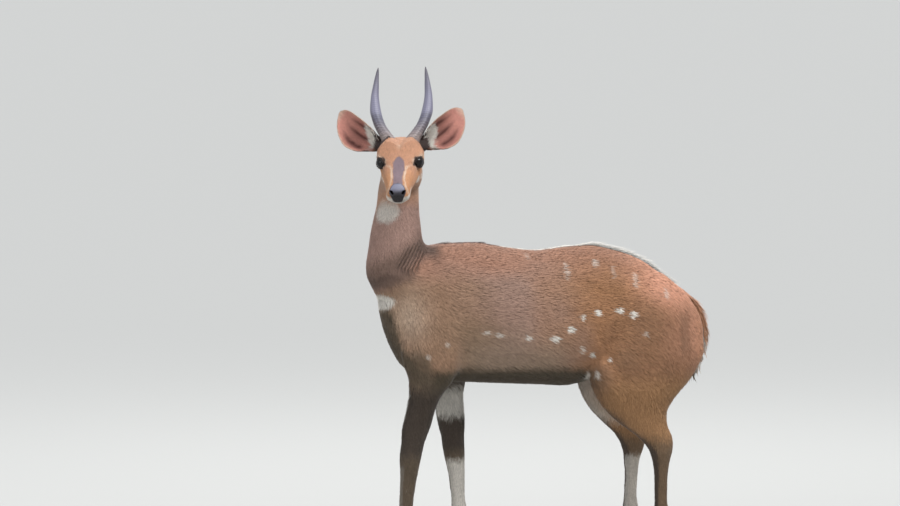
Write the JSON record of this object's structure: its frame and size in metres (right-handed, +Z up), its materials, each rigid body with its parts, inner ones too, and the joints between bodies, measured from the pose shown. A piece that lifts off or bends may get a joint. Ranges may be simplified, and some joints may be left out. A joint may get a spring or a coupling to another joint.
{
  "type": "bushbuck ram",
  "caption": "Life-size still model of a young bushbuck ram, standing on its hooves with its head turned to look over its left side.",
  "frame": {"origin": "middle of the bounding box's base, level with the soles of the hooves", "axes": "+Z up, -X the way the body faces, -Y the animal's left side, towards which the head is turned"},
  "size_m": [0.9152, 0.276, 1.1945],
  "materials": {
    "coat": "hide under short flat fur, matt",
    "ear": "thin skin with sparse hair, matt",
    "horn": "smooth horn, satin, ringed at its base",
    "hoof": "dark horn, satin",
    "eye": "wet and glossy"
  },
  "bodies": {
    "root": {"head": "coat", "neck": "coat", "trunk": "coat", "tail": "coat", "fore_leg_left_upper": "coat", "fore_leg_left_lower": "coat", "fore_leg_right_upper": "coat", "fore_leg_right_lower": "coat", "hind_leg_left_upper": "coat", "hind_leg_left_lower": "coat", "hind_leg_right_upper": "coat", "hind_leg_right_lower": "coat", "ear_left": "ear", "ear_right": "ear", "horn_left": "horn", "horn_right": "horn", "eye_left": "eye", "eye_right": "eye", "fore_leg_left_claw_inner": "hoof", "fore_leg_left_dewclaw_inner": "hoof", "fore_leg_left_claw_outer": "hoof", "fore_leg_left_dewclaw_outer": "hoof", "fore_leg_right_claw_inner": "hoof", "fore_leg_right_dewclaw_inner": "hoof", "fore_leg_right_claw_outer": "hoof", "fore_leg_right_dewclaw_outer": "hoof", "hind_leg_left_claw_inner": "hoof", "hind_leg_left_dewclaw_inner": "hoof", "hind_leg_left_claw_outer": "hoof", "hind_leg_left_dewclaw_outer": "hoof", "hind_leg_right_claw_inner": "hoof", "hind_leg_right_dewclaw_inner": "hoof", "hind_leg_right_claw_outer": "hoof", "hind_leg_right_dewclaw_outer": "hoof"}
  },
  "joints": []
}
